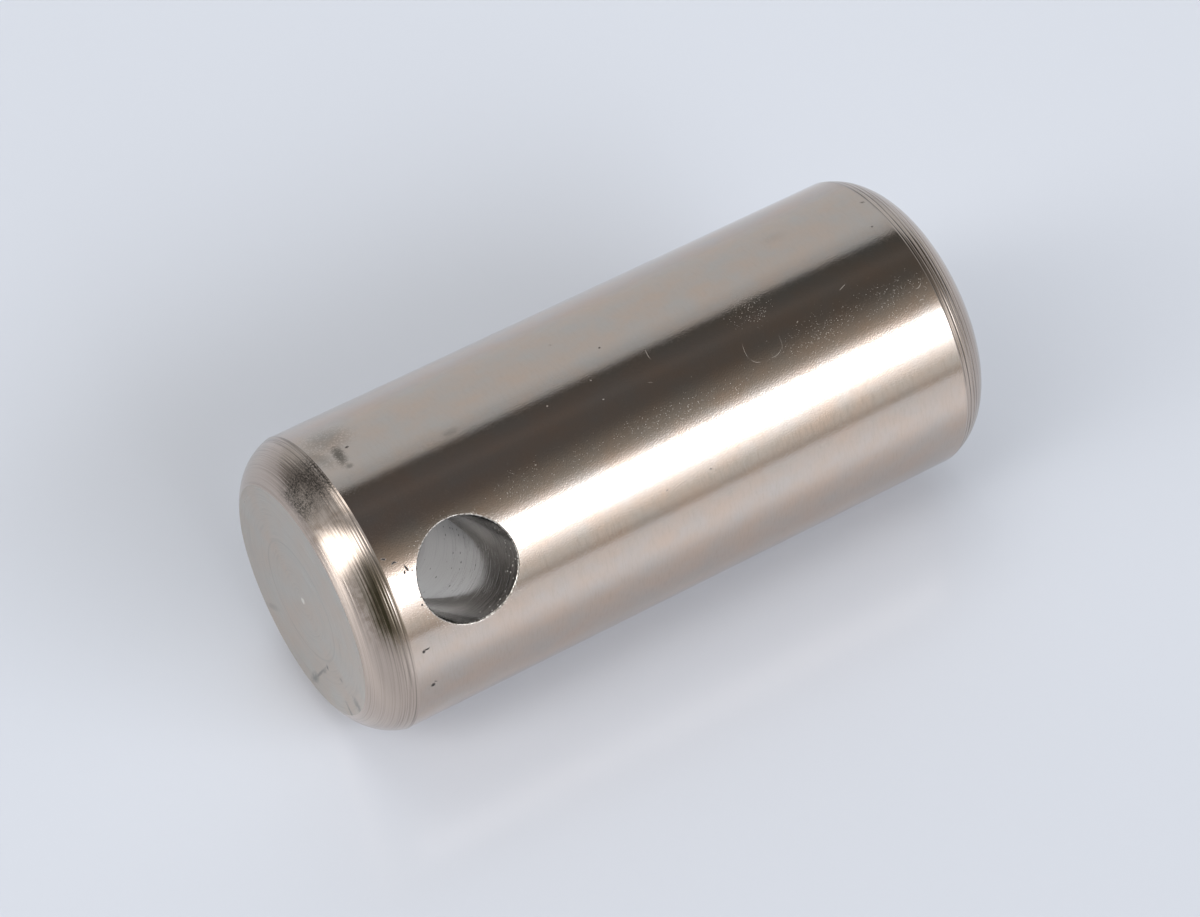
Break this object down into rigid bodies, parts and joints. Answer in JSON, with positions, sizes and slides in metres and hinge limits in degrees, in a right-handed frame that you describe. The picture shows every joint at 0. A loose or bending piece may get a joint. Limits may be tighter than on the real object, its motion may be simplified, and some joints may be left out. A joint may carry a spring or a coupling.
{
  "type": "pivot pin",
  "caption": "Straight round steel pivot pin with rounded ends, flat end faces and a cross hole near one end for the bolt that retains it.",
  "frame": {"origin": "middle of the flat end face that lies far from the cross hole; the pin stands on this face", "axes": "+Z along the pin's axis, towards the end with the cross hole; the cross hole runs along Y"},
  "size_m": [0.0318, 0.0318, 0.0728],
  "materials": {
    "ground_steel": "ground and lightly polished side, turned ends, satin end faces"
  },
  "bodies": {
    "root": {"pivot_pin": "ground_steel"}
  },
  "joints": []
}
